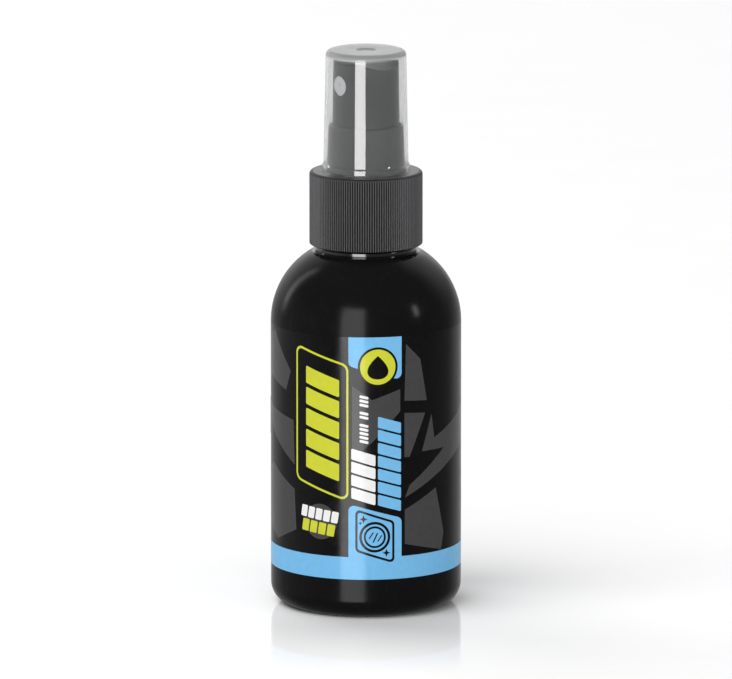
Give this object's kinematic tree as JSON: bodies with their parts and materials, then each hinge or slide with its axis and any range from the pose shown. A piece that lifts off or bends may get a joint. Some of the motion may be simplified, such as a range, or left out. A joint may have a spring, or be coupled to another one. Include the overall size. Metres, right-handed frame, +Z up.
{
  "type": "lens cleaning spray",
  "caption": "Round bottle of lens cleaner with a wrap label, a ribbed screw closure with a fine mist pump, and a clear overcap.",
  "frame": {"origin": "centre of the bottle's base, on the plane it stands on", "axes": "+Z up along the bottle's axis, and the front of the label faces -Y"},
  "size_m": [0.0466, 0.0467, 0.1368],
  "materials": {
    "bottle_plastic": "gloss black blow-moulded PET",
    "label_film": "glossy printed film, black with blue and yellow-green areas",
    "closure_plastic": "satin black moulded polypropylene",
    "actuator_plastic": "satin dark grey moulded polypropylene",
    "insert_plastic": "light grey moulded acetal",
    "clear_plastic": "clear moulded polypropylene",
    "natural_plastic": "natural translucent polyethylene and polypropylene",
    "white_plastic": "white moulded polypropylene",
    "gasket_foam": "white foamed polyethylene",
    "seal_rubber": "black rubber",
    "spring_steel": "drawn stainless wire",
    "ball_steel": "polished stainless"
  },
  "bodies": {
    "bottle": {"bottle": "bottle_plastic", "label_wrap": "label_film"},
    "pump": {"pump_cylinder": "natural_plastic", "stem_guide": "white_plastic", "cylinder_seal": "seal_rubber", "neck_gasket": "gasket_foam", "dip_tube": "natural_plastic", "return_spring": "spring_steel"},
    "closure": {"closure": "closure_plastic"},
    "overcap": {"overcap": "clear_plastic"},
    "stem": {"lower_stem": "white_plastic"},
    "button": {"actuator": "actuator_plastic", "nozzle_insert": "insert_plastic", "upper_stem": "natural_plastic"},
    "piston": {"piston": "natural_plastic"},
    "inlet_ball": {"inlet_ball": "ball_steel"}
  },
  "joints": [
    {"name": "pump_rise", "type": "slide", "parent": "bottle", "child": "pump", "axis": [0, 0, 1], "range_m": [0, 0.00397]},
    {"name": "closure_turn", "type": "hinge", "parent": "pump", "child": "closure", "pos_m": [0, 0, 0.098], "axis": [0, 0, 1], "range_deg": [0, 450]},
    {"name": "overcap_pull", "type": "slide", "parent": "closure", "child": "overcap", "axis": [0, 0, 1], "range_m": [0, 0.045]},
    {"name": "actuator_press", "type": "slide", "parent": "pump", "child": "stem", "axis": [0, 0, -1], "range_m": [0, 0.0055], "stiffness_N_per_m": 900, "springref_m": -0.0056, "deforming": ["return_spring"]},
    {"name": "actuator_turn", "type": "hinge", "parent": "stem", "child": "button", "pos_m": [0, 0, 0.11], "axis": [0, 0, 1], "continuous": true},
    {"name": "piston_float", "type": "slide", "parent": "stem", "child": "piston", "axis": [0, 0, 1], "range_m": [0, 0.0008]},
    {"name": "ball_lift", "type": "slide", "parent": "pump", "child": "inlet_ball", "axis": [0, 0, 1], "range_m": [0, 0.001]}
  ],
  "couplings": [
    {"joint": "closure_turn", "follows": "pump_rise", "rad_per_m": 1979}
  ]
}
